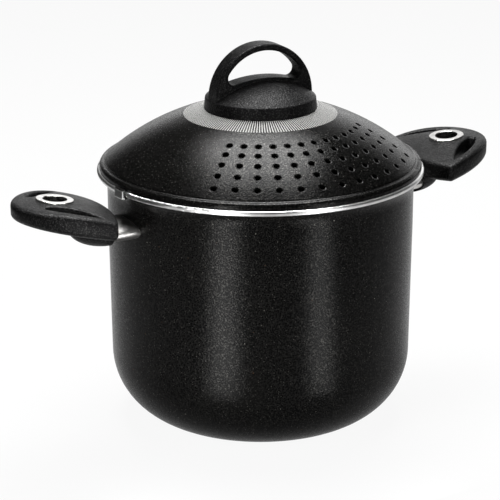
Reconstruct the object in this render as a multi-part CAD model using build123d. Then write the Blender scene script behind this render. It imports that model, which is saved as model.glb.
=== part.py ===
from build123d import *
import math
import os

# A 22 cm pasta pot of pressed aluminium with a locking strainer lid. Millimetres, +Z up.
# Origin: centre of the base, on the surface that the pot stands on. The side handles lie along X.
# The lid is drawn seated and unlocked: its two lugs stand in the notches of the rim.

# Pot shell
wall = 2.5                      # pressed sheet of the wall
base_thickness = 4.0
body_radius = 107.5             # outside of the wall, upper part
wall_draft = 1.1                # the wall is this much narrower where the round bottom corner starts
corner_radius = 50.0            # outside of the round bottom corner
rim_height = 183.0              # top of the bare rim bead
draft_drop = 40.0               # the draft of the wall ends this far below the rim
neck_drop = 14.0                # the wall starts to flare this far below the rim
neck_flare = 4.1                # outside of the neck under the bead, past the wall
bead_reach = 2.9                # outside of the bead, past the neck
bead_height = 3.7
bead_round = 1.6                # rounding of the bead's outer corners
lip_round = 0.8                 # rounding of the mouth's inner edge
groove_count = 5                # turned rings on the underside
groove_width = 1.4
groove_depth = 0.5
groove_start = 12.0             # radius of the innermost ring
groove_pitch = 9.0

# Bayonet between the lid and the rim
lug_count = 2
lug_direction = -176.3          # degrees about the pot's axis, from +X
lug_width = 9.6
lug_sheet = 1.3
lug_clearance = 0.3             # between lug and bead, outside and below
lug_grip = 2.3                  # reach of the lug's foot under the bead
lug_bend = 0.9                  # rounding of the lug's outer bends
notch_play = 2.4                # between the lug and each side of its notch
notch_clearance = 0.3           # between the lug's foot and the bottom of the notch
lock_turn = 20.0                # degrees from the notch to the stop
stop_lug = 1                    # the lug, counted from 0, that meets the stop on the pot
stop_width = 3.0
stop_reach = 1.6                # out of the neck
stop_height = 3.4
stop_play = 0.5                 # left between lug and stop at the end of the turn

# Lid
lid_sheet = 1.5
fold_inset = 4.7                # the dome ends in a pressed step, this far inside the lid's edge
fold_rise = 6.0                 # height of that step over the rim
crown_rise = 46.11              # height of the ball-shaped dome over the rim, without its flat
pad_depth = 3.71                # the flat under the knob is pressed this far into the dome
step_run = 0.4
step_drop = 0.9
shoulder_fall = 0.4
shoulder_round = 3.2
seat_width = 1.5                # width of the edge that rests on the rim
seat_gap = 0.1
drain_rows = 5
drain_columns = 13
drain_radius = 2.05
drain_inset = 5.8               # from the step to the outermost row
drain_row_pitch = 8.5
drain_column_pitch = 8.25       # degrees
drain_direction = -89.0         # middle of the drilled field, degrees from +X

# Knob
knob_direction = -3.8           # the arch stands along this direction, degrees from +X
knob_radius = 39.4              # foot of the knob
knob_draft = 0.8                # the foot is this much narrower at its top edge
knob_wall_height = 5.9
knob_cap_rise = 12.0            # crown of the cap over the foot's top edge
knob_edge_round = 1.6
knob_shell = 4.0
knob_boss_radius = 9.0
arch_width = 15.5
arch_inset = 2.2                # the arch's outside is this much smaller than the knob's foot
arch_band = 4.1                 # thickness of the arch
arch_rise = 0.5                 # centre of the arch over the foot's top edge
arch_round = 2.0
arch_round_share = 0.49         # most that the rounding may take of the arch's band
opening_corner = 5.0
opening_step = 2.0              # floor of the finger opening over the cap's crown
opening_floor_radius = 94.0

# Knob fixing
skirt_gap = 0.3                 # between the lower edge of the knob's foot and the lid's dome
seal_inset = 2.4                # the seal ring is this much smaller than the knob's foot
seal_side_clearance = 0.3       # between the seal ring and the foot's skirt about it
seal_thickness = 0.8
seal_bore_clearance = 0.3
turn_gap = 0.1                  # keeps the seal free of the lid and of the knob
insert_radius = 4.5
insert_length = 15.0
knob_screw_radius = 2.5
knob_screw_end_gap = 0.7        # from the screw's end to the end of the insert
knob_washer_radius = 14.0
knob_washer_thickness = 1.2
knob_head_radius = 5.0
knob_head_height = 3.0

# Side handles. Places along a handle are measured from its inner end, on its middle line.
handle_gap = 16.35              # from the pot's wall to the inner end
handle_inner_bow = 95.0         # radius of the bowed inner end
handle_centre_run = 4.15        # to the centre of the elliptic outline
handle_length = 60.8            # outline's half axis, away from the pot
handle_half_width = 43.0
handle_corner_round = 3.5
handle_crest_run = 48.15        # to the place where the top is highest
handle_crest_drop = 0.4         # height of that place below the rim
handle_top_bend = 120.8         # radius of the top line, seen from the side
handle_crown = 207.0            # radius of the top, seen from the end
handle_depth = 25.1             # from the crest down to the underside at the inner end
handle_bottom_slope = 11.6      # degrees
handle_top_round = 3.6
handle_low_round = 3.6
loop_end_width = 9.8            # bar of the loop at the tip
loop_side_width = 5.4           # bar of the loop at the sides
slot_inner_share = 0.2563       # of the handle's reach, to the inner tip of each finger slot
slot_inner_inset = 5.5          # from the handle's side to that tip
slot_middle_share = 0.4642      # the same, to the waist of the tongue between the slots
slot_middle_inset = 20.8
slot_end_overlap = 3.0          # the tongue between the slots runs this far into the loop's end
slot_outer_side = 9.5
slot_outer_round = 3.0
slot_inner_round = 0.4
slot_top_round = 1.6            # of the slots' edges on the handle's top
slot_low_round = 0.8
boss_length = 25.0              # rounded boss under the handle
boss_half_width = 21.5
boss_depth = 12.5

# Hanging eyelet in each handle
eyelet_run = 35.65              # from the handle's inner end
eyelet_bore = 8.1
eyelet_sheet = 1.3              # of the collar in the handle's hole
eyelet_flange_width = 3.4       # past the collar
eyelet_depth = 4.5
eyelet_flange = 1.4
eyelet_stand = 0.4              # of the flange over the handle
eyelet_round = 0.5
eyelet_relief = 0.6             # the hole in the handle is this much wider than the eyelet's

# Handle fixing
ferrule_half_width = 19.2
ferrule_half_height = 6.9
ferrule_drop = 28.5             # from the rim to the middle of the ferrule
ferrule_sheet = 0.8
bracket_half_width = 11.0
bracket_half_height = 3.0
bracket_overhang = 6.0          # past the middle of the screw
bracket_round = 1.2
foot_side_gap = 2.4             # between the bracket's foot, welded to the pot, and the ferrule
foot_gap = 0.9                  # the same, above and below
foot_thickness = 2.2
pocket_clearance = 0.3          # between bracket and handle
handle_screw_run = 7.15         # from the handle's inner end
handle_screw_radius = 2.4
handle_head_radius = 4.2
handle_head_height = 2.6
handle_screw_recess = 4.0       # depth of the screw's recess in the boss
recess_clearance = 0.4
handle_washer_radius = 4.8
handle_washer_thickness = 0.8

# Shared by both kinds of screw
screw_fit = 0.05                # radial play of a screw in its thread
screw_hole_clearance = 0.4      # radial play of a screw in a plain hole
cross_share = 0.26              # width of the cross recess, of the head's radius
cross_length_share = 1.1        # length of the cross recess, of the head's radius
cross_depth_share = 0.5         # depth of the cross recess, of the head's height
overrun = 5.0                   # every cutter runs this far past the face it leaves by

# Pot shell, worked out
foot_radius = body_radius - wall_draft
neck_radius = body_radius + neck_flare
rim_radius = neck_radius + bead_reach
straight_height = rim_height - draft_drop
neck_height = rim_height - neck_drop
bead_bottom = rim_height - bead_height
bead_flat = rim_radius - bead_round
body_inside = body_radius - wall
foot_inside = foot_radius - wall
mouth_radius = neck_radius - wall
flat_radius = foot_radius - corner_radius
inner_flat_radius = foot_inside - (corner_radius - base_thickness)

# Lid and bayonet, worked out
notch_width = lug_width + 2 * notch_play
lug_inside = rim_radius + lug_clearance
lug_outside = lug_inside + lug_sheet
lug_foot = rim_radius - lug_grip
lug_bottom = bead_bottom - lug_clearance - lug_sheet
lid_bottom = rim_height + seat_gap
lid_edge = bead_flat
fold_radius = lid_edge - fold_inset
fold_height = rim_height + fold_rise
dome_rise = crown_rise - fold_rise
dome_radius = (fold_radius**2 + dome_rise**2) / (2 * dome_rise)
dome_centre = rim_height + crown_rise - dome_radius
pad_height = rim_height + crown_rise - pad_depth
pad_underside = pad_height - lid_sheet
drain_first_ring = fold_radius - drain_inset - drain_row_pitch * (drain_rows - 1)

# Knob, worked out
knob_top_radius = knob_radius - knob_draft
knob_base = pad_height + seal_thickness + 2 * turn_gap
knob_edge = knob_base + knob_wall_height
cap_radius = (knob_top_radius**2 + knob_cap_rise**2) / (2 * knob_cap_rise)
cap_centre = knob_edge + knob_cap_rise - cap_radius
arch_radius = knob_radius - arch_inset
ceiling_radius = arch_radius - arch_band
opening_floor = knob_cap_rise + opening_step
seal_radius = knob_radius - seal_inset
knob_screw_length = lid_sheet + knob_washer_thickness + insert_length - knob_screw_end_gap

# Handles, worked out
handle_inner = body_radius + handle_gap
handle_centre = handle_inner + handle_centre_run
handle_tip = handle_centre + handle_length
handle_crest = handle_inner + handle_crest_run
handle_crest_height = rim_height - handle_crest_drop
crown_height = handle_crest_height - handle_crown
handle_bottom_height = handle_crest_height - handle_depth
slot_inner = handle_inner + slot_inner_share * (handle_tip - handle_inner)
slot_inner_side = handle_half_width - slot_inner_inset
slot_middle = handle_inner + slot_middle_share * (handle_tip - handle_inner)
slot_middle_side = handle_half_width - slot_middle_inset
slot_outer = handle_tip - loop_end_width + slot_end_overlap
eyelet_position = handle_inner + eyelet_run
eyelet_collar = eyelet_bore + eyelet_sheet
eyelet_radius = eyelet_collar + eyelet_flange_width
ferrule_height = rim_height - ferrule_drop
foot_half_width = ferrule_half_width - ferrule_sheet - foot_side_gap
foot_half_height = ferrule_half_height - ferrule_sheet - foot_gap
boss_bottom = handle_bottom_height - boss_depth
screw_seat = boss_bottom + handle_screw_recess
handle_screw_position = handle_inner + handle_screw_run
bracket_end = handle_screw_position + bracket_overhang
sides = {"right": 0, "left": 180}


def turned(edges):
    """A solid turned about the pot's axis from a closed outline in the XZ plane."""
    return revolve(make_face(edges), Axis.Z)


def around(count, first, shape):
    """Copies of a shape, evenly spaced about the pot's axis."""
    step = 360 / count
    return [Rot(0, 0, first + step * i) * shape for i in range(count)]


def disc(radius, low, high):
    """An upright round solid between two heights."""
    return Pos(0, 0, low) * Cylinder(radius, high - low, align=(Align.CENTER, Align.CENTER, Align.MIN))


def ring(radius, bore, low, high):
    """An upright flat ring between two heights."""
    return disc(radius, low, high) - disc(bore, low, high)


def ball_arc(centre_height, radius, start, end):
    """Arc of a ball's outline in the XZ plane between two distances from the axis."""
    places = (start, (start + end) / 2, end)
    return ThreePointArc(*[(x, 0, centre_height + math.sqrt(radius**2 - x**2)) for x in places])


def screw(radius, length, head_radius, head_height):
    """Pan-head screw that points up, with the face of its head at zero height."""
    head = disc(head_radius, -head_height, 0)
    head = fillet(head.edges().group_by(Axis.Z)[0], head_height / 2)
    width = head_radius * cross_share
    length_across = head_radius * cross_length_share
    depth = head_height * cross_depth_share
    bar = Box(length_across, width, 2 * depth)
    cross = Pos(0, 0, -head_height) * (bar + Rot(0, 0, 90) * bar)
    return head + disc(radius, 0, length) - cross


def pot_body():
    """Pressed shell: flat base, round corner, slightly drafted wall, flared neck and thick rim."""
    outline = Curve() + [
        Line((0, 0, 0), (flat_radius, 0, 0)),
        TangentArc((flat_radius, 0, 0), (foot_radius, 0, corner_radius), tangent=(1, 0, 0)),
        Line((foot_radius, 0, corner_radius), (body_radius, 0, straight_height)),
        Line((body_radius, 0, straight_height), (body_radius, 0, neck_height)),
        TangentArc((body_radius, 0, neck_height), (neck_radius, 0, bead_bottom), tangent=(0, 0, 1)),
        Line((neck_radius, 0, bead_bottom), (bead_flat, 0, bead_bottom)),
        TangentArc((bead_flat, 0, bead_bottom), (rim_radius, 0, bead_bottom + bead_round),
                   tangent=(1, 0, 0)),
        Line((rim_radius, 0, bead_bottom + bead_round), (rim_radius, 0, rim_height - bead_round)),
        TangentArc((rim_radius, 0, rim_height - bead_round), (bead_flat, 0, rim_height), tangent=(0, 0, 1)),
        Line((bead_flat, 0, rim_height), (mouth_radius + lip_round, 0, rim_height)),
        TangentArc((mouth_radius + lip_round, 0, rim_height), (mouth_radius, 0, rim_height - lip_round),
                   tangent=(-1, 0, 0)),
        Line((mouth_radius, 0, rim_height - lip_round), (mouth_radius, 0, bead_bottom)),
        TangentArc((body_inside, 0, neck_height), (mouth_radius, 0, bead_bottom), tangent=(0, 0, 1)),
        Line((body_inside, 0, neck_height), (body_inside, 0, straight_height)),
        Line((body_inside, 0, straight_height), (foot_inside, 0, corner_radius)),
        TangentArc((foot_inside, 0, corner_radius), (inner_flat_radius, 0, base_thickness),
                   tangent=(0, 0, -1)),
        Line((inner_flat_radius, 0, base_thickness), (0, 0, base_thickness)),
        Line((0, 0, base_thickness), (0, 0, 0)),
    ]
    shell = turned(outline)

    bottom = lug_foot - notch_clearance
    notch = Box(rim_radius - bottom + overrun, notch_width, bead_height + overrun,
                align=(Align.MIN, Align.CENTER, Align.CENTER))
    shell -= around(lug_count, lug_direction, Pos(bottom, 0, rim_height - bead_height / 2) * notch)

    stop = Box(stop_reach + wall / 2, stop_width, stop_height, align=(Align.MIN, Align.CENTER, Align.MAX))
    behind = (lug_width + stop_width) / 2 + stop_play
    turn = lock_turn + math.degrees(math.asin(behind / neck_radius))
    direction = lug_direction + stop_lug * 360 / lug_count - turn
    shell += Rot(0, 0, direction) * Pos(neck_radius - wall / 2, 0, bead_bottom) * stop

    for i in range(groove_count):
        middle = groove_start + groove_pitch * i
        shell -= ring(middle + groove_width / 2, middle - groove_width / 2, -groove_depth, groove_depth)
    return shell


def lid_lug():
    """Hook bent out of the lid's edge: over the bead, down outside it and back in under it."""
    start = lid_edge - seat_width
    top = lid_bottom + lug_sheet
    outline = Polyline(
        (start, 0, lid_bottom),
        (lug_inside, 0, lid_bottom),
        (lug_inside, 0, lug_bottom + lug_sheet),
        (lug_foot, 0, lug_bottom + lug_sheet),
        (lug_foot, 0, lug_bottom),
        (lug_outside, 0, lug_bottom),
        (lug_outside, 0, top),
        (start, 0, top),
        close=True,
    )
    lug = extrude(make_face(outline), lug_width / 2, both=True)
    bends = lug.edges().filter_by(Axis.Y).group_by(Axis.X)[-1]
    return fillet(bends, lug_bend)


def lid_shell():
    """Domed lid with a flat under the knob, a stepped shoulder, two lugs and the drain holes."""
    inner_dome = dome_radius - lid_sheet
    pad_radius = math.sqrt(dome_radius**2 - (pad_height - dome_centre)**2)
    inner_pad_radius = math.sqrt(inner_dome**2 - (pad_underside - dome_centre)**2)
    inner_share = inner_dome / dome_radius
    inner_fold = (fold_radius * inner_share, 0, dome_centre + (fold_height - dome_centre) * inner_share)
    step = (fold_radius + step_run, 0, fold_height - step_drop)
    shoulder_height = fold_height - step_drop - shoulder_fall
    round_start = lid_edge - shoulder_round
    inner_edge = lid_edge - seat_width
    inner_round = shoulder_round - seat_width
    outline = Curve() + [
        Line((0, 0, pad_underside), (0, 0, pad_height)),
        Line((0, 0, pad_height), (pad_radius, 0, pad_height)),
        ball_arc(dome_centre, dome_radius, pad_radius, fold_radius),
        Line((fold_radius, 0, fold_height), step),
        Line(step, (round_start, 0, shoulder_height)),
        TangentArc((round_start, 0, shoulder_height), (lid_edge, 0, shoulder_height - shoulder_round),
                   tangent=(1, 0, 0)),
        Line((lid_edge, 0, shoulder_height - shoulder_round), (lid_edge, 0, lid_bottom)),
        Line((lid_edge, 0, lid_bottom), (inner_edge, 0, lid_bottom)),
        Line((inner_edge, 0, lid_bottom), (inner_edge, 0, shoulder_height - shoulder_round)),
        TangentArc((round_start, 0, shoulder_height - seat_width),
                   (inner_edge, 0, shoulder_height - seat_width - inner_round), tangent=(1, 0, 0)),
        Line((round_start, 0, shoulder_height - seat_width), inner_fold),
        ball_arc(dome_centre, inner_dome, fold_radius * inner_share, inner_pad_radius),
        Line((inner_pad_radius, 0, pad_underside), (0, 0, pad_underside)),
    ]
    shell = turned(outline) + around(lug_count, lug_direction, lid_lug())

    hole = Cylinder(drain_radius, dome_radius, align=(Align.CENTER, Align.CENTER, Align.MIN))
    hole = Pos(0, 0, inner_dome - overrun) * hole
    holes = []
    for row in range(drain_rows):
        lean = math.degrees(math.asin((drain_first_ring + drain_row_pitch * row) / dome_radius))
        for column in range(drain_columns):
            turn = drain_direction + drain_column_pitch * (column - (drain_columns - 1) / 2)
            holes.append(Pos(0, 0, dome_centre) * Rot(0, 0, turn) * Rot(0, lean, 0) * hole)
    screw_hole = knob_screw_radius + screw_hole_clearance
    holes.append(disc(screw_hole, pad_underside - overrun, pad_height + overrun))
    return shell - holes


def knob():
    """Moulded knob: round foot with a domed cap, and an arch to hold it by, hollow underneath."""
    cap_top = knob_edge + knob_cap_rise
    skirt = seal_radius + seal_side_clearance
    skirt_bottom = (skirt, 0, dome_height(skirt) + skirt_gap)
    foot_bottom = (knob_radius, 0, dome_height(knob_radius) + skirt_gap)
    foot = turned(Curve() + [
        Line((0, 0, knob_base), (skirt, 0, knob_base)),
        Line((skirt, 0, knob_base), skirt_bottom),
        Line(skirt_bottom, foot_bottom),
        Line(foot_bottom, (knob_top_radius, 0, knob_edge)),
        ball_arc(cap_centre, cap_radius, knob_top_radius, 0),
        Line((0, 0, cap_top), (0, 0, knob_base)),
    ])
    shoulder = foot.edges().filter_by(lambda edge: edge.is_closed).sort_by(Axis.Z)[-1]
    foot = fillet(shoulder, knob_edge_round)

    upper_half = Rectangle(2 * knob_radius, knob_radius, align=(Align.CENTER, Align.MIN))
    outside = (Pos(0, arch_rise) * Circle(arch_radius)) & upper_half
    floor = Pos(0, opening_floor - opening_floor_radius) * Circle(opening_floor_radius)
    opening = (Circle(ceiling_radius) & upper_half) - floor
    opening = fillet(opening.vertices(), opening_corner)
    arch = extrude(Plane.XZ * (outside - opening), arch_width / 2, both=True)
    faces = arch.faces().filter_by(Axis.Y)
    rims = [edge for face in faces for edge in face.edges() if edge.geom_type != GeomType.LINE]
    arch = fillet(rims, min(arch_round, arch_band * arch_round_share))
    arch = Pos(0, 0, knob_edge) * Rot(0, 0, knob_direction) * arch

    inside = knob_top_radius - knob_shell
    boss_top = cap_height(knob_boss_radius) - knob_shell
    hollow = turned(Curve() + [
        Line((knob_boss_radius, 0, knob_base), (inside, 0, knob_base)),
        Line((inside, 0, knob_base), (inside, 0, cap_height(inside) - knob_shell)),
        ball_arc(cap_centre - knob_shell, cap_radius, inside, knob_boss_radius),
        Line((knob_boss_radius, 0, boss_top), (knob_boss_radius, 0, knob_base)),
    ])
    boss = disc(knob_boss_radius, pad_height, knob_edge)
    bore = disc(insert_radius, pad_height, pad_height + insert_length)
    return foot + arch - hollow + boss - bore


def dome_height(radius):
    """Height of the lid's dome at a distance from the axis."""
    return dome_centre + math.sqrt(dome_radius**2 - radius**2)


def cap_height(radius):
    """Height of the knob's cap at a distance from the axis."""
    return cap_centre + math.sqrt(cap_radius**2 - radius**2)


def knob_insert():
    """Brass thread insert moulded into the knob's boss."""
    return ring(insert_radius, knob_screw_radius + screw_fit, pad_height, pad_height + insert_length)


def knob_seal():
    """Heat-resistant ring between the knob's foot and the lid."""
    low = pad_height + turn_gap
    return ring(seal_radius, knob_boss_radius + seal_bore_clearance, low, low + seal_thickness)


def knob_washer():
    """Wide washer under the lid."""
    low = pad_underside - knob_washer_thickness
    washer = ring(knob_washer_radius, knob_screw_radius + screw_hole_clearance, low, pad_underside)
    outer_edge = washer.edges().group_by(Axis.Z)[0].sort_by(SortBy.RADIUS)[-1]
    return fillet(outer_edge, knob_washer_thickness / 2)


def knob_screw():
    """Screw from inside the lid into the knob."""
    shape = screw(knob_screw_radius, knob_screw_length, knob_head_radius, knob_head_height)
    return Pos(0, 0, pad_underside - knob_washer_thickness) * shape


def handle_plan():
    """Plan of a handle: part of an ellipse with a bowed inner end."""
    plan = Pos(handle_centre, 0) * Ellipse(handle_length, handle_half_width)
    plan &= Pos(handle_inner + handle_inner_bow, 0) * Circle(handle_inner_bow)
    return fillet(plan.vertices(), handle_corner_round)


def slot_plan():
    """Plan of the two finger slots: crescents between the loop's bar and the middle tongue."""
    inside = Ellipse(handle_length - loop_end_width, handle_half_width - loop_side_width)
    inside = Pos(handle_centre, 0) * inside
    start = handle_centre - handle_length
    edge = handle_half_width
    tongue = make_face(Curve() + [
        ThreePointArc((slot_inner, slot_inner_side), (slot_middle, slot_middle_side),
                      (slot_outer, slot_outer_side)),
        Line((slot_outer, slot_outer_side), (slot_outer, -slot_outer_side)),
        ThreePointArc((slot_outer, -slot_outer_side), (slot_middle, -slot_middle_side),
                      (slot_inner, -slot_inner_side)),
        Polyline((slot_inner, -slot_inner_side), (slot_inner, -edge), (start, -edge), (start, edge),
                 (slot_inner, edge), (slot_inner, slot_inner_side)),
    ])
    slots = inside - tongue
    tips = slots.vertices().group_by(Axis.X)
    slots = fillet(tips[0], slot_inner_round)
    ends = slots.vertices().group_by(Axis.X)[-1]
    return fillet(ends, slot_outer_round)


def eyelet_place():
    """Middle of the eyelet on the handle's top, square to the surface there."""
    lean = math.degrees(math.asin((handle_crest - eyelet_position) / handle_top_bend))
    return Pos(eyelet_position, 0, handle_top(eyelet_position)) * Rot(0, -lean, 0)


def handle_top(place):
    """Height of the handle's top line at a distance from the pot's axis."""
    return handle_crest_height - handle_top_bend + math.sqrt(handle_top_bend**2 - (place - handle_crest)**2)


def round_holed_face(shape, place, outer_round, hole_round):
    """Rounds the rim and then the holes' edges of a shape's lowest (0) or highest (-1) face with holes."""
    for outside, size in ((True, outer_round), (False, hole_round)):
        face = shape.faces().filter_by(lambda face: face.inner_wires()).sort_by(Axis.Z)[place]
        wires = [face.outer_wire()] if outside else face.inner_wires()
        shape = fillet([edge for wire in wires for edge in wire.edges()], size)
    return shape


def handle():
    """Moulded loop handle with a boss that takes the bracket, the screw and the end of the ferrule."""
    start = handle_inner - overrun
    end = handle_tip + overrun
    side = make_face(Curve() + [
        Line((start, 0, crown_height), (start, 0, handle_top(start))),
        ThreePointArc((start, 0, handle_top(start)), (handle_crest, 0, handle_crest_height),
                      (end, 0, handle_top(end))),
        Line((end, 0, handle_top(end)), (end, 0, crown_height)),
        Line((end, 0, crown_height), (start, 0, crown_height)),
    ])
    crown_axis = Axis((0, 0, crown_height), (1, 0, 0))
    reach = math.degrees(math.asin((handle_half_width + overrun) / handle_crown))
    crown = revolve(side.rotate(crown_axis, -reach), crown_axis, 2 * reach)
    prism = extrude(Pos(0, 0, boss_bottom - overrun) * handle_plan(), handle_crest_height)
    below = Box(2 * end, 2 * end, end, align=(Align.CENTER, Align.CENTER, Align.MAX))
    below = Pos(handle_inner, 0, handle_bottom_height) * Rot(0, -handle_bottom_slope, 0) * below
    slots = extrude(Pos(0, 0, boss_bottom) * slot_plan(), handle_crest_height)
    slab = (crown & prism) - below - slots
    slab = round_holed_face(slab, -1, handle_top_round, slot_top_round)
    slab = round_holed_face(slab, 0, handle_low_round, slot_low_round)

    boss = scale(Sphere(1), by=(boss_length, boss_half_width, boss_depth))
    boss = Pos(handle_inner, 0, handle_bottom_height) * boss
    boss = (boss & prism & disc(end, boss_bottom, handle_bottom_height + boss_depth / 2)) - slots

    pocket_width = 2 * (bracket_half_width + pocket_clearance)
    pocket_height = 2 * (bracket_half_height + pocket_clearance)
    pocket_align = (Align.MIN, Align.CENTER, Align.CENTER)
    pocket = Box(bracket_end + pocket_clearance, pocket_width, pocket_height, align=pocket_align)
    screw_hole = disc(handle_screw_radius + screw_hole_clearance, boss_bottom, ferrule_height)
    recess = disc(handle_washer_radius + recess_clearance, boss_bottom - overrun, screw_seat)
    eyelet_hole = (
        disc(eyelet_bore + eyelet_relief, -handle_half_width, 0)
        + disc(eyelet_collar, -eyelet_depth, 0)
        + disc(eyelet_radius, eyelet_stand - eyelet_flange, overrun)
    )
    shape = slab + boss - Pos(0, 0, ferrule_height) * pocket
    shape -= Pos(handle_screw_position, 0, 0) * (screw_hole + recess)
    # A quarter turn keeps the seam of the round hole off the handle's middle line.
    return shape - eyelet_place() * Rot(0, 0, 90) * eyelet_hole


def hang_eyelet():
    """Flanged steel eyelet to hang the pot by."""
    eyelet = disc(eyelet_collar, -eyelet_depth, 0)
    eyelet += disc(eyelet_radius, eyelet_stand - eyelet_flange, eyelet_stand)
    eyelet -= disc(eyelet_bore, -eyelet_depth, eyelet_stand)
    eyelet = fillet(eyelet.edges().group_by(Axis.Z)[-1], eyelet_round)
    return eyelet_place() * eyelet


def ferrule():
    """Oval sleeve between the pot's wall and the handle."""
    sleeve = Ellipse(ferrule_half_width, ferrule_half_height)
    sleeve -= Ellipse(ferrule_half_width - ferrule_sheet, ferrule_half_height - ferrule_sheet)
    sleeve = Pos(0, 0, ferrule_height) * extrude(Plane.YZ * sleeve, handle_centre)
    sleeve -= disc(body_radius, 0, rim_height)
    return sleeve - extrude(handle_plan(), rim_height)


def handle_bracket():
    """Bracket with a curved foot that is welded to the wall and a tongue that goes into the handle."""
    foot = extrude(Plane.YZ * Ellipse(foot_half_width, foot_half_height), handle_centre)
    foot = Pos(0, 0, ferrule_height) * foot
    foot &= ring(body_radius + foot_thickness, body_radius, 0, rim_height)
    tongue = RectangleRounded(2 * bracket_half_width, 2 * bracket_half_height, bracket_round)
    tongue = Pos(0, 0, ferrule_height) * extrude(Plane.YZ * tongue, bracket_end)
    tongue -= disc(body_radius + foot_thickness / 2, 0, rim_height)
    screw_hole = disc(handle_screw_radius + screw_fit, 0, rim_height)
    return foot + tongue - Pos(handle_screw_position, 0, 0) * screw_hole


def handle_washer():
    """Washer in the recess under the boss."""
    shape = ring(handle_washer_radius, handle_screw_radius + screw_hole_clearance,
                 screw_seat - handle_washer_thickness, screw_seat)
    return Pos(handle_screw_position, 0, 0) * shape


def handle_screw():
    """Screw from below through the boss into the bracket."""
    head = screw_seat - handle_washer_thickness
    length = ferrule_height + bracket_half_height - head
    shape = screw(handle_screw_radius, length, handle_head_radius, handle_head_height)
    return Pos(handle_screw_position, 0, head) * shape


def main():
    os.makedirs("parts", exist_ok=True)
    nodes = {
        "pot_body": pot_body(),
        "lid_shell": lid_shell(),
        "knob": knob(),
        "knob_insert": knob_insert(),
        "knob_seal": knob_seal(),
        "knob_washer": knob_washer(),
        "knob_screw": knob_screw(),
    }
    fittings = {
        "handle": handle(),
        "handle_bracket": handle_bracket(),
        "handle_ferrule": ferrule(),
        "handle_eyelet": hang_eyelet(),
        "handle_washer": handle_washer(),
        "handle_screw": handle_screw(),
    }
    for side, turn in sides.items():
        for name, shape in fittings.items():
            nodes[name + "_" + side] = Rot(0, 0, turn) * shape
    for name, shape in nodes.items():
        export_step(shape, os.path.join("parts", name + ".step"))
        print(name, len(shape.solids()), round(shape.volume))


main()
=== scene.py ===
"""Finishes, lights and frames a 22 cm pasta pot with a locking strainer lid.

Lengths are in metres, in the frame of the pot: origin at the middle of the base, +Z up, handles along X.
Inside the finishes lengths are in millimetres, because coatings and grain are judged in millimetres.
"""
import math

import bpy
from bpy.props import FloatProperty, FloatVectorProperty, IntProperty, PointerProperty
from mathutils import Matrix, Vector


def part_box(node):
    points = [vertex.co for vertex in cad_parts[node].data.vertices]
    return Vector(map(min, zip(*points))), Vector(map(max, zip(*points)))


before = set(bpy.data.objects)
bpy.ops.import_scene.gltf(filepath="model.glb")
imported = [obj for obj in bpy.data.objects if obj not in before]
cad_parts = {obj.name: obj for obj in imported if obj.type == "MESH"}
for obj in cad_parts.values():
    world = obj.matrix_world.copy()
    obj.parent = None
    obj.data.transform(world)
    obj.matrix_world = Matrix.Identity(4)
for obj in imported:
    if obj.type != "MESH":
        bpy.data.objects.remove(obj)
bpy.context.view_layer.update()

bl_info = {
    "name": "Pasta Pot Finish",
    "version": (1, 0, 0),
    "blender": (4, 5, 0),
    "location": "3D View > Sidebar > Pasta Pot",
    "description": "Finishes, lights and frames a pasta pot with a locking strainer lid",
    "category": "Object",
}

SIDES = ("right", "left")
MILLIMETRES = 1000.0
SOFT_EDGE = 0.05  # half the width, in millimetres, over which one finish gives way to the next
WHITE = (1.0, 1.0, 1.0, 1.0)
rim_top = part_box("pot_body")[1].z * MILLIMETRES
rim_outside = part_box("pot_body")[1].y * MILLIMETRES


def of_sides(*names):
    """The names of the nodes that each handle has its own copy of."""
    return [f"{name}_{side}" for name in names for side in SIDES]


class Value:
    """A shader socket that can stand in a Python sum: each operator adds its Math node."""

    def __init__(self, tree, socket):
        self.tree = tree
        self.socket = socket

    def __add__(self, other):
        return self.tree.math("ADD", self, other)

    __radd__ = __add__

    def __sub__(self, other):
        return self.tree.math("SUBTRACT", self, other)

    def __rsub__(self, other):
        return self.tree.math("SUBTRACT", other, self)

    def __mul__(self, other):
        return self.tree.math("MULTIPLY", self, other)

    __rmul__ = __mul__

    def __truediv__(self, other):
        return self.tree.math("DIVIDE", self, other)

    def __rtruediv__(self, other):
        return self.tree.math("DIVIDE", other, self)

    def other(self, name):
        """Another output of the node that this value comes from."""
        return Value(self.tree, self.socket.node.outputs[name])


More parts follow.
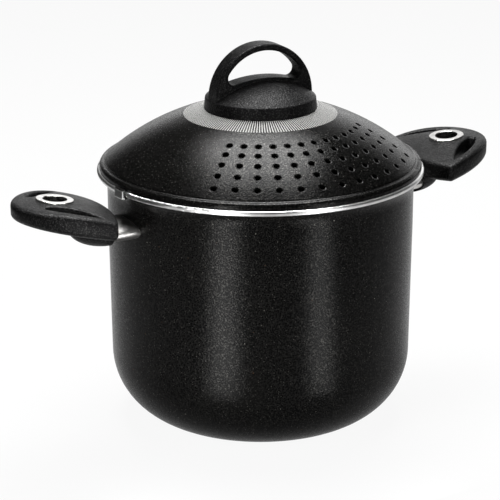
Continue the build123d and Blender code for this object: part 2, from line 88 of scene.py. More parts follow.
class Tree:
    """One shader tree, with a method for each kind of step that the finishes use."""

    def __init__(self, owner):
        owner.use_nodes = True
        self.nodes = owner.node_tree.nodes
        self.links = owner.node_tree.links
        self.nodes.clear()

    def node(self, kind, settings=None, inputs=None, output=0):
        """Adds a node: its settings first, then the values or links of its sockets."""
        made = self.nodes.new(kind)
        for name, value in (settings or {}).items():
            setattr(made, name, value)
        for name, value in (inputs or {}).items():
            if isinstance(value, Value):
                self.links.new(value.socket, made.inputs[name])
            else:
                made.inputs[name].default_value = value
        return Value(self, made.outputs[output]) if made.outputs else None

    def math(self, operation, *values):
        return self.node("ShaderNodeMath", {"operation": operation}, dict(enumerate(values)))

    def fade(self, value, low, high):
        """A smooth step from 0 at low to 1 at high."""
        sockets = {"Value": value, "From Min": low, "From Max": high}
        return self.node("ShaderNodeMapRange", {"interpolation_type": "SMOOTHSTEP"}, sockets)

    def past(self, value, edge, soft=SOFT_EDGE):
        """1 where the value is past the edge and 0 before it, with a soft step between them."""
        return self.fade(value, edge - soft, edge + soft)

    def mix(self, share, first, second):
        """A colour between two colours. Sockets 6 and 7 of a Mix node are its colours, and 2 its result."""
        return self.node("ShaderNodeMix", {"data_type": "RGBA"}, {0: share, 6: first, 7: second}, 2)

    def place(self):
        """The place on the piece in millimetres, in the frame of the pot."""
        here = self.node("ShaderNodeTexCoord", output="Object")
        return self.node("ShaderNodeVectorMath", {"operation": "SCALE"}, {0: here, "Scale": MILLIMETRES})

    def split(self, vector):
        first = self.node("ShaderNodeSeparateXYZ", None, {0: vector})
        return first, first.other("Y"), first.other("Z")

    def join(self, x, y, z):
        return self.node("ShaderNodeCombineXYZ", None, {0: x, 1: y, 2: z})

    def noise(self, place, size, detail=2.0, roughness=0.5):
        """Soft noise from 0 to 1 with lumps of about that size in millimetres."""
        sockets = {"Vector": place, "Scale": 1.0 / size, "Detail": detail, "Roughness": roughness}
        return self.node("ShaderNodeTexNoise", None, sockets)

    def dots(self, place, spacing, radius):
        """Scattered round dots: 1 inside a dot and 0 outside, and a colour that is random for each dot."""
        sockets = {"Vector": place, "Scale": 1.0 / spacing}
        away = self.node("ShaderNodeTexVoronoi", None, sockets, "Distance")
        inside = 1.0 - self.fade(away * spacing, 0.6 * radius, radius)
        return inside, away.other("Color")

    def surface(self, colour, roughness, height, metal=0.0, **constants):
        """The finished surface. Height is in millimetres, and constants are the shader's own sockets."""
        bump = self.node("ShaderNodeBump", None, {"Height": height, "Distance": 1.0 / MILLIMETRES})
        sockets = {"Base Color": colour, "Roughness": roughness, "Metallic": metal, "Normal": bump}
        sockets.update({name.replace("_", " "): value for name, value in constants.items()})
        shader = self.node("ShaderNodeBsdfPrincipled", None, sockets)
        self.node("ShaderNodeOutputMaterial", None, {"Surface": shader})


def colour(name, default, words):
    return FloatVectorProperty(
        name=name, description=words, default=default, subtype="COLOR", size=3, min=0.0, max=1.0
    )


def length(name, default, words):
    return FloatProperty(name=name, description=words, default=default, unit="LENGTH", precision=6)


def share(name, default, words):
    return FloatProperty(name=name, description=words, default=default, subtype="FACTOR", min=0.0, max=1.0)


def angle(name, degrees, words):
    return FloatProperty(name=name, description=words, default=math.radians(degrees), unit="ROTATION")


def number(name, default, words):
    return FloatProperty(name=name, description=words, default=default)


class CoatingSettings(bpy.types.PropertyGroup):
    """Black non-stick coating of the shell and the lid."""

    black: colour("Black", (0.0006, 0.0006, 0.0006), "Ground of the coating")
    charcoal: colour("Charcoal", (0.0021, 0.0020, 0.0018), "Cloudy lighter parts of the coating")
    flake: colour("Flake", (0.050, 0.048, 0.044), "Fine mineral flakes")
    glint: colour("Glint", (0.024, 0.0235, 0.0222), "Mineral grains that glint in the light")
    glint_share: share("Glint share", 0.85, "How much the glinting grains stand out")
    glint_width: length("Glint width", 0.0009, "Width of the glinting grains")
    speck: colour("Speck", (0.15, 0.145, 0.13), "Sparse pale specks")
    rust: colour("Rust speck", (0.06, 0.030, 0.016), "The few brown specks")
    cloud_width: length("Cloud width", 0.055, "Width of the lighter clouds")
    ripple_width: length("Ripple width", 0.0045, "Width of the soft ripple that spraying leaves")
    ripple_depth: length("Ripple depth", 0.000012, "Depth of the ripple")
    flake_spacing: length("Flake spacing", 0.0015, "Distance between flakes")
    flake_radius: length("Flake radius", 0.00042, "Radius of a flake")
    flake_rise: length("Flake height", 0.000008, "How far a flake stands up")
    speck_spacing: length("Speck spacing", 0.0052, "Distance between specks")
    speck_radius: length("Speck radius", 0.00048, "Radius of a speck")
    gloss: share("Roughness", 0.18, "Roughness of the smooth coating")
    grain: length("Grain", 0.0010, "Width of the coating's grain")
    grain_depth: length("Grain depth", 0.00008, "Depth of the coating's grain")
    shine: share("Shine", 0.055, "Strength of the coating's reflections")


class BareMetalSettings(bpy.types.PropertyGroup):
    """Turned aluminium at the rim and under the base."""

    tone: colour("Aluminium", (0.83, 0.83, 0.82), "Bare aluminium")
    bead: length("Bead height", 0.0037, "Height of the bare bead at the rim")
    mouth: length("Mouth radius", 0.1091, "Inside of the rim")
    base_radius: length("Base radius", 0.0564, "Radius of the flat base")
    line_width: length("Turning line", 0.00012, "Width of the lines that the lathe leaves")
    line_depth: length("Line depth", 0.0000015, "Depth of those lines")
    gloss: share("Roughness", 0.20, "Roughness between the lines")
    dull_width: length("Dull patch", 0.009, "Width of the duller patches")
    ragged: length("Ragged edge", 0.00025, "How uneven the coating's edge is")
    ragged_width: length("Ragged width", 0.0015, "Width of the bays in the coating's edge")
    bead_edge: length("Bead edge", 0.001, "From the mouth out to where the bare bead starts")
    base_edge: length("Base edge", 0.0013, "From the flat base out to where the coating starts")
    base_rise: length("Base rise", 0.00038, "Height up to which the base is bare")


class PrintSettings(bpy.types.PropertyGroup):
    """Printed ring of fine lines about the knob."""

    silver: colour("Silver", (0.32, 0.32, 0.31), "Printed ink")
    inner: length("Inner radius", 0.0394, "Where the lines start, from the lid's axis")
    outer: length("Outer radius", 0.05365, "Where the lines end, from the lid's axis")
    lines: IntProperty(name="Lines", description="Number of printed lines", default=180, min=12)
    duty: share("Line share", 0.44, "How much of the ring is ink")
    gloss: share("Roughness", 0.42, "Roughness of the ink")
    thickness: length("Ink thickness", 0.00001, "How far the ink stands on the coating")
    patch_width: length("Patch width", 0.003, "Width of the patches where the ink is darker")
    worn_width: length("Worn width", 0.0005, "Width of the pinholes where the ink is thin")


class DrainSettings(bpy.types.PropertyGroup):
    """Soft edges of the drain holes, and the bare lock lugs."""

    hole: length("Hole radius", 0.00205, "Radius of a drain hole")
    edge: length("Edge width", 0.0007, "Width of the edge that rounds into a hole")
    edge_depth: length("Edge depth", 0.0003, "How far the edge sinks into a hole")
    last_ring: length("Outer row", 0.1024, "Distance of the outermost row from the lid's axis")
    pitch: length("Row pitch", 0.0085, "Distance between rows")
    rows: IntProperty(name="Rows", description="Rows of drain holes", default=5, min=1)
    columns: IntProperty(name="Columns", description="Drain holes in a row", default=13, min=1)
    step: angle("Column pitch", 8.25, "Angle between neighbours in a row")
    middle: angle("Middle", -89.0, "Direction of the middle of the field, from +X")
    dome: length("Dome radius", 0.16599, "Radius of the domed lid")
    dome_rise: length("Dome rise", 0.00371, "From the thread insert's foot up to where the dome would peak")
    lug_overlap: length("Lug overlap", 0.0004, "How far inside the rim's outer edge the bare lugs start")
    lug_rise: length("Lug rise", 0.00075, "How far over the rim the bare lugs reach")


class MouldingSettings(bpy.types.PropertyGroup):
    """Heat-proof black moulding of the knob and the handles."""

    black: colour("Black", (0.0015, 0.0015, 0.0016), "Ground of the moulding")
    dusty: colour("Dusty", (0.0040, 0.0040, 0.0042), "Paler mottling of the moulding")
    mark: colour("Rubbed", (0.010, 0.010, 0.0105), "Light marks from use")
    gloss: share("Roughness", 0.40, "Roughness of the moulding")
    glint: colour("Glint", (0.055, 0.054, 0.053), "Filler grains that glint in the light")
    grain: length("Grain", 0.0013, "Width of the moulding's grain")
    grain_depth: length("Grain depth", 0.00025, "Depth of the moulding's grain")
    glint_width: length("Glint width", 0.0009, "Width of the filler grains")
    glint_share: share("Glint share", 0.5, "How much the filler grains stand out")
    pore_spacing: length("Pore spacing", 0.0013, "Distance between pores")
    pore_radius: length("Pore radius", 0.00022, "Radius of a pore")
    mottle_width: length("Mottle width", 0.011, "Width of the paler mottling")
    rub_width: length("Rub width", 0.026, "Width of the marks from use")
    wave_width: length("Wave width", 0.007, "Width of the soft waves that moulding leaves")
    roll: length("Roll", 0.0028, "How full the handles' sides are rolled")
    boss_depth: length("Boss depth", 0.0105, "How far a handle's boss hangs below its loop at the pot")
    loop_rise: share("Loop rise", 0.205, "How much the loop's underside rises outwards for each length")
    crest_rise: length("Crest rise", 0.005, "How much a handle's top rises towards its tip")
    knob_grain: share("Grain of the knob", 0.85, "How much grain the knob has, next to the handles")
    shine: share("Shine", 0.075, "Strength of the handles' reflections")
    knob_shine: share("Shine of the knob", 0.050, "Strength of the knob's reflections")


class FittingSettings(bpy.types.PropertyGroup):
    """Metals and rubber of the small fittings."""

    steel: colour("Steel", (0.72, 0.71, 0.69), "Polished steel of ferrules and eyelets")
    zinc: colour("Zinc", (0.46, 0.48, 0.50), "Plating of screws and washers")
    cast: colour("Bracket", (0.62, 0.62, 0.63), "Aluminium of the brackets")
    brass: colour("Brass", (0.66, 0.47, 0.19), "Thread insert in the knob")
    seal: colour("Seal", (0.018, 0.018, 0.018), "Heat-proof ring under the knob")


class StageSettings(bpy.types.PropertyGroup):
    """Floor, lamps, world and camera."""

    azimuth: angle("View azimuth", -30.8, "Direction of the camera about the pot, from straight before it")
    elevation: angle("View elevation", 19.3, "Height of the camera over the pot, as an angle")
    distance: length("View distance", 1.5274, "From the camera to the point that it looks at")
    aim: length("Aim height", 0.086, "Height of the point that the camera looks at")
    lens: number("Lens", 153.48, "Focal length in millimetres")
    shift_x: number("Shift X", -0.0210, "Sideways shift of the frame")
    shift_y: number("Shift Y", 0.0894, "Upward shift of the frame")
    floor: colour("Floor", (0.22, 0.22, 0.22), "Plain pale floor, away from the camera's own view")
    floor_size: length("Floor size", 12.0, "Width of the floor")
    floor_mottle: length("Floor mottle", 0.090, "Width of the floor's faint mottling")
    white: number("Floor white", 1.10, "Level of the white that the floor shows")
    seen_white: share("White seen", 0.84, "How much of that white the camera sees")
    mirrored_white: share("White mirrored", 0.35, "How much of that white metal and glass see")
    overhead: number("Overhead level", 24.6, "Radiance of the square panel above")
    panel: length("Panel width", 0.75, "Width of the panel above")
    panel_height: length("Panel height", 1.30, "Height of the panel above the floor")
    panel_back: length("Panel distance", 0.30, "How far behind the pot the panel hangs")
    panel_aim: length("Panel aim", 0.20, "Height on the pot's axis that the panel points at")
    strip: number("Strip level", 8.0, "Radiance of the left strip before the pot")
    strip_length: length("Strip length", 0.66, "Length of both strips")
    strip_distance: length("Strip distance", 0.35, "From the pot's axis to both strips")
    strip_height: length("Strip height", 0.30, "Height of both strips")
    strip_aim: length("Strip aim", 0.475, "Height on the pot's axis that both strips point at")
    left_turn: angle("Left strip", -21.0, "Direction of the left strip, from the camera's")
    left_width: length("Left strip width", 0.060, "Width of the left strip")
    right_turn: angle("Right strip", 35.0, "Direction of the right strip, from the camera's")
    right_width: length("Right strip width", 0.050, "Width of the right strip")
    right_share: share("Right strip share", 0.75, "Level of the right strip, next to the left one")
    wall_turn: angle("Wall turn", -12.0, "From straight behind the pot to the middle of the white wall")
    wall_inner: angle("Wall inner edge", 14.07, "From the wall's middle to where its white starts to fade")
    wall_outer: angle("Wall outer edge", 38.74, "From the wall's middle to where its white ends")
    backdrop: number("Backdrop level", 1.4, "Radiance of the white wall behind")
    room: number("Room level", 0.03, "Radiance of the room before the pot")


class PotSettings(bpy.types.PropertyGroup):
    """All sizes and colours of the pot's finish."""

    coating: PointerProperty(type=CoatingSettings)
    bare: PointerProperty(type=BareMetalSettings)
    printed: PointerProperty(type=PrintSettings)
    drain: PointerProperty(type=DrainSettings)
    moulding: PointerProperty(type=MouldingSettings)
    fitting: PointerProperty(type=FittingSettings)
    stage: PointerProperty(type=StageSettings)
    lid_specks: share("Specks on the lid", 0.35, "How much the specks show on the lid, next to the shell")


def paint(value):
    """A colour setting as the four numbers that a shader socket takes."""
    return (*value, 1.0)


def darker(value, left):
    """The same colour with only that share of its light left."""
    return paint([channel * left for channel in value])


def in_mm(value):
    return value * MILLIMETRES


def finish(node_names, material):
    """Gives CAD nodes a material, in place of any that they came with."""
    for name in node_names:
        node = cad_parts[name]
        node.data.materials.clear()
        node.data.materials.append(material)


def new_material(name):
    material = bpy.data.materials.new(name)
    return material, Tree(material)


class Layers:
    """What a finish is made of: colour, roughness, height in millimetres and how metallic it is."""

    def __init__(self, tree, shade, rough, height, metal):
        self.tree = tree
        self.shade = shade
        self.rough = rough
        self.height = height
        self.metal = metal

    def over(self, cover, above):
        """These layers with others above them, where cover is 1."""
        return Layers(
            self.tree,
            self.tree.mix(cover, self.shade, above.shade),
            self.rough + cover * (above.rough - self.rough),
            self.height + cover * (above.height - self.height),
            self.metal + cover * (above.metal - self.metal),
        )

    def apply(self, shine):
        self.tree.surface(self.shade, self.rough, self.height, self.metal, Specular_IOR_Level=shine)


def coating_layers(tree, place, settings, speck_share):
    """Black coating: clouds, grain that glints in the light, dull flakes, and a few pale or brown specks.

    About half of the specks are shown, and the share says how strongly.
    """
    grain = tree.noise(place, in_mm(settings.grain), 2.0, 0.6)
    ripple = tree.noise(place, in_mm(settings.ripple_width), 1.0)
    cloud = tree.fade(tree.noise(place, in_mm(settings.cloud_width), 3.0), 0.35, 0.75)
    glint = tree.fade(tree.noise(place, in_mm(settings.glint_width), 1.0, 0.5), 0.50, 0.68)
    flakes, tint = tree.dots(place, in_mm(settings.flake_spacing), in_mm(settings.flake_radius))
    strength = tree.split(tint)[0]
    specks, speck_tint = tree.dots(place, in_mm(settings.speck_spacing), in_mm(settings.speck_radius))
    red, green, blue = tree.split(speck_tint)
    shown = tree.fade(red, 0.45, 0.55)
    brown = tree.fade(green, 0.74, 0.78)
    shade = tree.mix(cloud * 0.7 + grain * 0.3, paint(settings.black), paint(settings.charcoal))
    shade = tree.mix(glint * settings.glint_share, shade, paint(settings.glint))
    shade = tree.mix(flakes * strength * strength * strength, shade, paint(settings.flake))
    speck_shade = tree.mix(brown, paint(settings.speck), paint(settings.rust))
    speck = specks * shown * (0.15 + 0.85 * blue * blue) * speck_share
    shade = tree.mix(speck, shade, speck_shade)
    rough = settings.gloss + 0.06 * (cloud - 0.5) + 0.25 * (grain - 0.5) + 0.10 * flakes
    height = in_mm(settings.grain_depth) * (grain - 0.5) * 2.0
    height = height + in_mm(settings.ripple_depth) * ripple + in_mm(settings.flake_rise) * flakes
    return Layers(tree, shade, rough, height, glint * settings.glint_share * (1.0 - speck))


def round_axis(tree, place):
    """Distance from the pot's axis, direction about it in radians, and height, all on the piece."""
    x, y, z = tree.split(place)
    away = tree.math("SQRT", x * x + y * y)
    return away, tree.math("ARCTAN2", y, x), z


def turned_lines(tree, away, about, height, width):
    """Height of the fine lines that a lathe leaves. They run about the axis and change slowly on the way."""
    changes_per_radian = 6.0
    along = tree.join(away / width, about * changes_per_radian, height / width)
    return tree.noise(along, 1.0, 2.0, 0.7)


def bare_layers(tree, place, settings, away, about, height):
    """Bare turned aluminium: fine lines about the axis, and duller patches."""
    lines = turned_lines(tree, away, about, height, in_mm(settings.line_width))
    dull = tree.noise(place, in_mm(settings.dull_width), 3.0)
    shade = tree.mix(tree.fade(dull, 0.3, 0.8), paint(settings.tone), darker(settings.tone, 0.72))
    rough = settings.gloss + 0.10 * lines + 0.08 * dull
    return Layers(tree, shade, rough, in_mm(settings.line_depth) * lines, 1.0)


class PASTAPOT_OT_finish_shell(bpy.types.Operator):
    """Coats the pressed shell and leaves its rim and the flat of its base as turned bare metal"""

    bl_idname = "pastapot.finish_shell"
    bl_label = "Pot shell"

    def execute(self, context):
        settings = context.scene.pasta_pot
        bare = settings.bare
        material, tree = new_material("coated_shell")
        place = tree.place()
        away, about, height = round_axis(tree, place)
        coat = coating_layers(tree, place, settings.coating, 1.0)
        metal = bare_layers(tree, place, bare, away, about, height)
        ragged = in_mm(bare.ragged) * (tree.noise(place, in_mm(bare.ragged_width)) - 0.5)
        bead_low = rim_top - in_mm(bare.bead)
        bead_start = in_mm(bare.mouth + bare.bead_edge)
        on_bead = tree.past(height + 0.2 * ragged, bead_low) * tree.past(away + ragged, bead_start, 0.1)
        base_end = in_mm(bare.base_radius + bare.base_edge)
        on_base = 1.0 - tree.past(height, in_mm(bare.base_rise), 0.075)
        on_base = on_base * (1.0 - tree.past(away + ragged, base_end, 0.3))
        coat.over(on_bead + on_base, metal).apply(settings.coating.shine)
        finish(["pot_body"], material)
        return {"FINISHED"}


def print_mask(tree, settings, away, about):
    """Where the printed lines are: inside a ring, and in the inked part of each step about the axis."""
    ring = tree.past(away, in_mm(settings.inner)) * (1.0 - tree.past(away, in_mm(settings.outer)))
    wave = tree.math("SINE", about * settings.lines)
    return ring * tree.past(wave, math.cos(math.pi * settings.duty))


def hole_distance(tree, settings, place, away, about):
    """Distance in millimetres on the dome from the axis of the nearest drain hole."""
    dome_top = in_mm(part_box("knob_insert")[0].z + settings.dome_rise)
    height = tree.split(place)[2] - (dome_top - in_mm(settings.dome))
    out = tree.math("SQRT", away * away + height * height)
    slant = away / out
    ring = slant * in_mm(settings.dome)
    last = in_mm(settings.last_ring)
    pitch = in_mm(settings.pitch)
    row = tree.math("ROUND", (last - ring) / pitch)
    row = tree.math("MINIMUM", tree.math("MAXIMUM", row, 0.0), settings.rows - 1)
    half = (settings.columns - 1) / 2
    turn = tree.math("WRAP", about - settings.middle, math.pi, -math.pi)
    column = tree.math("ROUND", turn / settings.step)
    column = tree.math("MINIMUM", tree.math("MAXIMUM", column, -half), half)
    steep = height / out
    down = (ring - (last - row * pitch)) / steep
    across = (turn - column * settings.step) * ring
    return tree.math("SQRT", down * down + across * across)


class PASTAPOT_OT_finish_lid(bpy.types.Operator):
    """Coats the lid, prints the ring of lines about the knob and softens the edges of the drain holes"""

    bl_idname = "pastapot.finish_lid"
    bl_label = "Strainer lid"

    def execute(self, context):
        settings = context.scene.pasta_pot
        drain = settings.drain
        printed = settings.printed
        material, tree = new_material("coated_lid")
        place = tree.place()
        away, about, height = round_axis(tree, place)
        coat = coating_layers(tree, place, settings.coating, settings.lid_specks)
        patches = tree.noise(place, in_mm(printed.patch_width))
        silver = tree.mix(patches, paint(printed.silver), darker(printed.silver, 0.8))
        upward = tree.split(tree.node("ShaderNodeNewGeometry", output="Normal"))[2]
        ink = print_mask(tree, printed, away, about) * tree.past(upward, 0.25)
        whole_ink = tree.fade(tree.noise(place, in_mm(printed.worn_width), 2.0), 0.30, 0.42)
        ink_layers = Layers(tree, silver, printed.gloss, coat.height + in_mm(printed.thickness), 0.0)
        inked = coat.over(ink * (0.82 + 0.18 * whole_ink), ink_layers)
        to_hole = hole_distance(tree, drain, place, away, about)
        edge = tree.fade(to_hole, in_mm(drain.hole) - SOFT_EDGE, in_mm(drain.hole + drain.edge))
        cut = bare_layers(tree, place, settings.bare, away, about, height)
        on_lug = tree.past(away, rim_outside - in_mm(drain.lug_overlap), 0.2)
        on_lug = on_lug * (1.0 - tree.past(height, rim_top + in_mm(drain.lug_rise), 0.15))
        whole = inked.over(on_lug, cut)
        whole.height = whole.height + in_mm(drain.edge_depth) * edge
        whole.apply(settings.coating.shine)
        finish(["lid_shell"], material)
        return {"FINISHED"}


def moulding_layers(tree, place, settings, grain_share):
    """Heat-proof moulding: grain, mottling, glinting filler, pores and marks from use."""
    grain = tree.noise(place, in_mm(settings.grain), 2.0, 0.6)
    pores = tree.dots(place, in_mm(settings.pore_spacing), in_mm(settings.pore_radius))[0]
    mottle = tree.fade(tree.noise(place, in_mm(settings.mottle_width), 4.0, 0.6), 0.35, 0.70)
    rubbed = tree.fade(tree.noise(place, in_mm(settings.rub_width), 3.0, 0.55), 0.56, 0.72)
    glint = tree.fade(tree.noise(place, in_mm(settings.glint_width), 1.0), 0.52, 0.68)
    glint = settings.glint_share * grain_share * glint
    shade = tree.mix(mottle * 0.6 + grain * 0.4, paint(settings.black), paint(settings.dusty))
    shade = tree.mix(rubbed * 0.35 + pores * 0.30, shade, paint(settings.mark))
    shade = tree.mix(glint, shade, paint(settings.glint))
    rough = settings.gloss + 0.10 * (grain - 0.5) + 0.10 * (mottle - 0.5) - 0.06 * rubbed
    height = in_mm(settings.grain_depth) * 2.0 * grain_share * (grain - 0.5)
    height = height + 0.02 * tree.noise(place, in_mm(settings.wave_width)) - 0.012 * pores
    return Layers(tree, shade, rough, height, glint)


def handle_roll(tree, place, settings):
    """Height of the soft roll of a handle's sides, which are fullest between its top and its underside."""
    low, high = (in_mm(corner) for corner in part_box("handle_right"))
    along, across, up = tree.split(place)
    run = tree.math("ABSOLUTE", along) - low.x
    to_tip = 1.0 - run / (high.x - low.x)
    underside = low.z + in_mm(settings.boss_depth) + settings.loop_rise * run
    top = high.z - in_mm(settings.crest_rise) * to_tip * to_tip
    off_middle = (up - 0.5 * (top + underside)) / (0.5 * (top - underside))
    off_middle = tree.math("MINIMUM", tree.math("ABSOLUTE", off_middle), 1.0)
    return (1.0 - off_middle * off_middle) * in_mm(settings.roll)


class PASTAPOT_OT_finish_mouldings(bpy.types.Operator):
    """Gives the knob and both handles their black heat-proof moulding"""

    bl_idname = "pastapot.finish_mouldings"
    bl_label = "Knob and handles"

    def execute(self, context):
        settings = context.scene.pasta_pot.moulding
        material, tree = new_material("knob_moulding")
        moulding_layers(tree, tree.place(), settings, settings.knob_grain).apply(settings.knob_shine)
        finish(["knob"], material)
        material, tree = new_material("handle_moulding")
        place = tree.place()
        moulding = moulding_layers(tree, place, settings, 1.0)
        moulding.height = moulding.height + handle_roll(tree, place, settings)
        moulding.apply(settings.shine)
        finish(of_sides("handle"), material)
        return {"FINISHED"}


def fitting_finish(name, tone, rough, grain_size, mottle_size, metal=1.0):
    """A metal or rubber with mottled colour, uneven gloss, fine grain and a few fine scratches.

    Grain and mottling have their widths in millimetres.
    """
    material, tree = new_material(name)
    place = tree.place()
    x, y, z = tree.split(place)
    grain = tree.noise(place, grain_size, 3.0, 0.6)
    mottle = tree.noise(place, mottle_size, 3.0)
    scratch = tree.noise(tree.join(x / 4.0, y / 0.1, z / 0.15), 1.0, 1.0)
    scratch = tree.fade(scratch, 0.66, 0.74)
    shade = tree.mix(tree.fade(mottle, 0.3, 0.75), paint(tone), darker(tone, 0.7))
    dull = rough + 0.30 * rough * (mottle - 0.5) + 0.35 * rough * (grain - 0.5) + 0.12 * scratch
    tree.surface(shade, dull, 0.004 * grain - 0.006 * scratch, metal)
    return material


class PASTAPOT_OT_finish_steel(bpy.types.Operator):
    """Brushes the ferrules between pot and handles and polishes the eyelets that the pot hangs by"""

    bl_idname = "pastapot.finish_steel"
    bl_label = "Ferrules and eyelets"

    def execute(self, context):
        steel = context.scene.pasta_pot.fitting.steel
        brushed = fitting_finish("brushed_steel", steel, rough=0.34, grain_size=0.4, mottle_size=6.0)
        finish(of_sides("handle_ferrule"), brushed)
        polished = fitting_finish("polished_steel", steel, rough=0.17, grain_size=0.4, mottle_size=4.0)
        finish(of_sides("handle_eyelet"), polished)
        return {"FINISHED"}


class PASTAPOT_OT_finish_fixings(bpy.types.Operator):
    """Finishes what holds the knob and the handles: brackets, screws, washers, thread insert and seal"""

    bl_idname = "pastapot.finish_fixings"
    bl_label = "Brackets, screws and seal"

    def execute(self, context):
        tones = context.scene.pasta_pot.fitting
        cast = fitting_finish("cast_aluminium", tones.cast, rough=0.45, grain_size=0.7, mottle_size=5.0)
        finish(of_sides("handle_bracket"), cast)
        zinc = fitting_finish("zinc_plated_steel", tones.zinc, rough=0.32, grain_size=0.3, mottle_size=2.5)
        finish(["knob_screw", "knob_washer", *of_sides("handle_screw", "handle_washer")], zinc)
        brass = fitting_finish("turned_brass", tones.brass, rough=0.28, grain_size=0.3, mottle_size=2.0)
        finish(["knob_insert"], brass)
        sizes = {"rough": 0.62, "grain_size": 0.5, "mottle_size": 3.0}
        finish(["knob_seal"], fitting_finish("black_seal_rubber", tones.seal, metal=0.0, **sizes))
        return {"FINISHED"}


def round_pot(azimuth, elevation, distance, height):
    """A point seen from the pot in that direction. Azimuth 0 lies before the pot, towards -Y."""
    flat = distance * math.cos(elevation)
    up = height + distance * math.sin(elevation)
    return Vector((flat * math.sin(azimuth), -flat * math.cos(azimuth), up))


def look_at(thing, target):
    """Turns a lamp or camera, which look along their own -Z, towards a point."""
    thing.rotation_euler = (Vector(target) - thing.location).to_track_quat("-Z", "Y").to_euler()


def add_panel(name, place, aim, width, height, radiance):
    """A soft lamp that points at a height on the pot's axis and that the camera doesn't see."""
    data = bpy.data.lights.new(name, "AREA")
    data.shape = "RECTANGLE"
    data.size = width
    data.size_y = height
    data.energy = radiance * math.pi * width * height
    lamp = bpy.data.objects.new(name, data)
    bpy.context.scene.collection.objects.link(lamp)
    lamp.location = place
    look_at(lamp, (0.0, 0.0, aim))
    lamp.visible_camera = False


def add_floor(settings):
    """A plain pale floor that keeps the pot's soft shadow and looks white to the camera."""
    half = settings.floor_size / 2
    mesh = bpy.data.meshes.new("studio_floor")
    corners = [(-half, -half, 0.0), (half, -half, 0.0), (half, half, 0.0), (-half, half, 0.0)]
    mesh.from_pydata(corners, [], [(0, 1, 2, 3)])
    floor = bpy.data.objects.new("studio_floor", mesh)
    bpy.context.scene.collection.objects.link(floor)
    material, tree = new_material("pale_floor")
    place = tree.place()
    mottle = tree.noise(place, in_mm(settings.floor_mottle), 3.0)
    shade = tree.mix(mottle, paint(settings.floor), darker(settings.floor, 0.97))
    plain = tree.node("ShaderNodeBsdfDiffuse", None, {"Color": shade})
    white = tree.node("ShaderNodeEmission", None, {"Color": WHITE, "Strength": settings.white})
    path = tree.node("ShaderNodeLightPath", None, None, "Is Camera Ray")
    mirrored = path.other("Is Glossy Ray") + path.other("Is Transmission Ray")
    seen = settings.seen_white * path + settings.mirrored_white * mirrored
    both = tree.node("ShaderNodeMixShader", None, {0: seen, 1: plain, 2: white})
    tree.node("ShaderNodeOutputMaterial", None, {"Surface": both})
    mesh.materials.append(material)


def add_world(settings):
    """White to the camera. All else is lit by a white wall behind the pot and a dim room before it."""
    world = bpy.data.worlds.new("studio")
    bpy.context.scene.world = world
    tree = Tree(world)
    direction = tree.node("ShaderNodeTexCoord", output="Generated")
    behind = round_pot(settings.azimuth + math.pi + settings.wall_turn, 0.0, 1.0, 0.0)
    product = {"operation": "DOT_PRODUCT"}
    facing = tree.node("ShaderNodeVectorMath", product, {0: direction, 1: behind}, "Value")
    wall = tree.fade(facing, math.cos(settings.wall_outer), math.cos(settings.wall_inner))
    around = settings.room + (settings.backdrop - settings.room) * wall
    seen = tree.node("ShaderNodeLightPath", None, None, "Is Camera Ray")
    strength = seen + (1.0 - seen) * around
    light = tree.node("ShaderNodeBackground", None, {"Color": WHITE, "Strength": strength})
    tree.node("ShaderNodeOutputWorld", None, {"Surface": light})


def add_camera(settings):
    data = bpy.data.cameras.new("photo_view")
    data.lens = settings.lens
    data.shift_x = settings.shift_x
    data.shift_y = settings.shift_y
    camera = bpy.data.objects.new("photo_view", data)
    bpy.context.scene.collection.objects.link(camera)
    camera.location = round_pot(settings.azimuth, settings.elevation, settings.distance, settings.aim)
    look_at(camera, (0.0, 0.0, settings.aim))
    bpy.context.scene.camera = camera


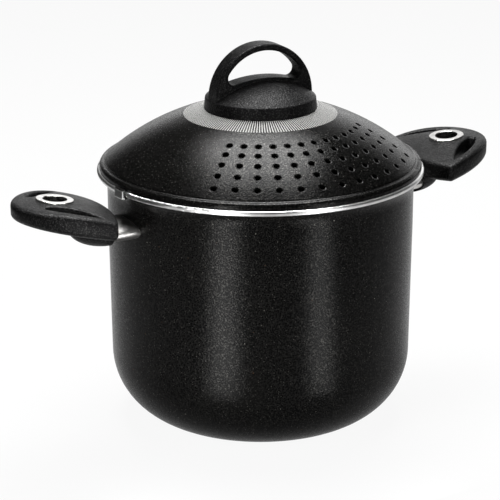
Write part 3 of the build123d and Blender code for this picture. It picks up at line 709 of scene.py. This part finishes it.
class PASTAPOT_OT_set_stage(bpy.types.Operator):
    """Sets up the pale floor, the soft panels, the world and the camera of the photograph"""

    bl_idname = "pastapot.set_stage"
    bl_label = "Stage"

    def execute(self, context):
        settings = context.scene.pasta_pot.stage
        context.scene.view_settings.view_transform = "Standard"
        add_floor(settings)
        add_world(settings)
        add_camera(settings)
        view = settings.azimuth
        panel = settings.panel
        place = round_pot(view + math.pi, 0.0, settings.panel_back, settings.panel_height)
        add_panel("panel_above", place, settings.panel_aim, panel, panel, settings.overhead)
        strips = {
            "strip_left": (settings.left_turn, settings.left_width, 1.0),
            "strip_right": (settings.right_turn, settings.right_width, settings.right_share),
        }
        for name, (turn, width, strip_share) in strips.items():
            place = round_pot(view + turn, 0.0, settings.strip_distance, settings.strip_height)
            radiance = settings.strip * strip_share
            add_panel(name, place, settings.strip_aim, width, settings.strip_length, radiance)
        return {"FINISHED"}


class PASTAPOT_PT_panel(bpy.types.Panel):
    """Lists the steps that finish the pot"""

    bl_idname = "PASTAPOT_PT_panel"
    bl_label = "Pasta Pot"
    bl_space_type = "VIEW_3D"
    bl_region_type = "UI"
    bl_category = "Pasta Pot"

    def draw(self, context):
        for step in steps:
            self.layout.operator(step.bl_idname)


groups = (
    CoatingSettings,
    BareMetalSettings,
    PrintSettings,
    DrainSettings,
    MouldingSettings,
    FittingSettings,
    StageSettings,
    PotSettings,
)
steps = (
    PASTAPOT_OT_finish_shell,
    PASTAPOT_OT_finish_lid,
    PASTAPOT_OT_finish_mouldings,
    PASTAPOT_OT_finish_steel,
    PASTAPOT_OT_finish_fixings,
    PASTAPOT_OT_set_stage,
)
classes = (*groups, *steps, PASTAPOT_PT_panel)


def register():
    for entry in classes:
        bpy.utils.register_class(entry)
    bpy.types.Scene.pasta_pot = PointerProperty(type=PotSettings)


def unregister():
    del bpy.types.Scene.pasta_pot
    for entry in reversed(classes):
        bpy.utils.unregister_class(entry)


def main():
    register()
    bpy.ops.pastapot.finish_shell()
    bpy.ops.pastapot.finish_lid()
    bpy.ops.pastapot.finish_mouldings()
    bpy.ops.pastapot.finish_steel()
    bpy.ops.pastapot.finish_fixings()
    bpy.ops.pastapot.set_stage()


if __name__ == "__main__":
    main()
